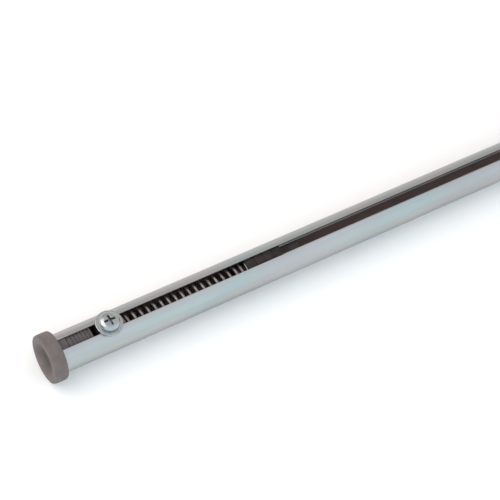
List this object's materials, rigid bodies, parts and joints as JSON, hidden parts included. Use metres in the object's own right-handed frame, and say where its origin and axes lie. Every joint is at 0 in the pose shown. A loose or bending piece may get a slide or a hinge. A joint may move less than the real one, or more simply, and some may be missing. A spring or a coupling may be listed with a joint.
{
  "type": "spring-loaded doorway bar",
  "caption": "Telescoping doorway bar of nested open-seam steel tubes, with rubber feet, an inner compression spring and a screw clamp that slides in the seam to set its length.",
  "frame": {"origin": "centre of the outer foot's face, the plane that meets the left door jamb", "axes": "+X along the bar from the outer foot to the inner foot, +Z out of the tubes' open seams, where the clamp screw stands"},
  "size_m": [0.6914, 0.0322, 0.0338],
  "materials": {
    "zinc_tube": "bright zinc on rolled steel, faintly hazed, with fine marks along the tube",
    "zinc_hardware": "bright blue zinc",
    "spring_steel": "oiled spring wire",
    "foot_rubber": "matt grey-brown moulded rubber",
    "plug_plastic": "moulded dark grey plastic",
    "guide_plastic": "moulded black plastic",
    "collar_plastic": "moulded dark grey plastic, fine spark texture"
  },
  "bodies": {
    "outer_assembly": {"outer_tube": "zinc_tube", "outer_plug": "plug_plastic", "outer_foot": "foot_rubber", "mouth_collar": "collar_plastic"},
    "stop": {"stop_block": "guide_plastic", "clamp_nut": "zinc_hardware", "fixed_thrust_washer": "zinc_hardware", "main_spring": "spring_steel"},
    "washer": {"clamp_washer": "zinc_hardware"},
    "screw": {"clamp_screw": "zinc_hardware"},
    "spring_end": {"moving_thrust_washer": "zinc_hardware"},
    "inner_assembly": {"spring_seat": "guide_plastic", "inner_tube": "zinc_tube", "inner_plug": "plug_plastic", "inner_foot": "foot_rubber"}
  },
  "joints": [
    {"name": "stop_slide", "type": "slide", "parent": "outer_assembly", "child": "stop", "axis": [1, 0, 0], "range_m": [0, 0.36]},
    {"name": "clamp_lift", "type": "slide", "parent": "stop", "child": "washer", "axis": [0, 0, 1], "range_m": [0, 0.002]},
    {"name": "clamp_turn", "type": "hinge", "parent": "washer", "child": "screw", "pos_m": [0.0435, 0, 0.012], "axis": [0, 0, 1], "range_deg": [0, 720]},
    {"name": "spring_travel", "type": "slide", "parent": "stop", "child": "spring_end", "axis": [1, 0, 0], "range_m": [-0.045, 0], "stiffness_N_per_m": 2280, "deforming": ["main_spring"]},
    {"name": "inner_twist", "type": "hinge", "parent": "spring_end", "child": "inner_assembly", "pos_m": [0.15, 0, 0], "axis": [1, 0, 0], "continuous": true}
  ],
  "couplings": [
    {"joint": "clamp_turn", "follows": "clamp_lift", "rad_per_m": 6283}
  ]
}
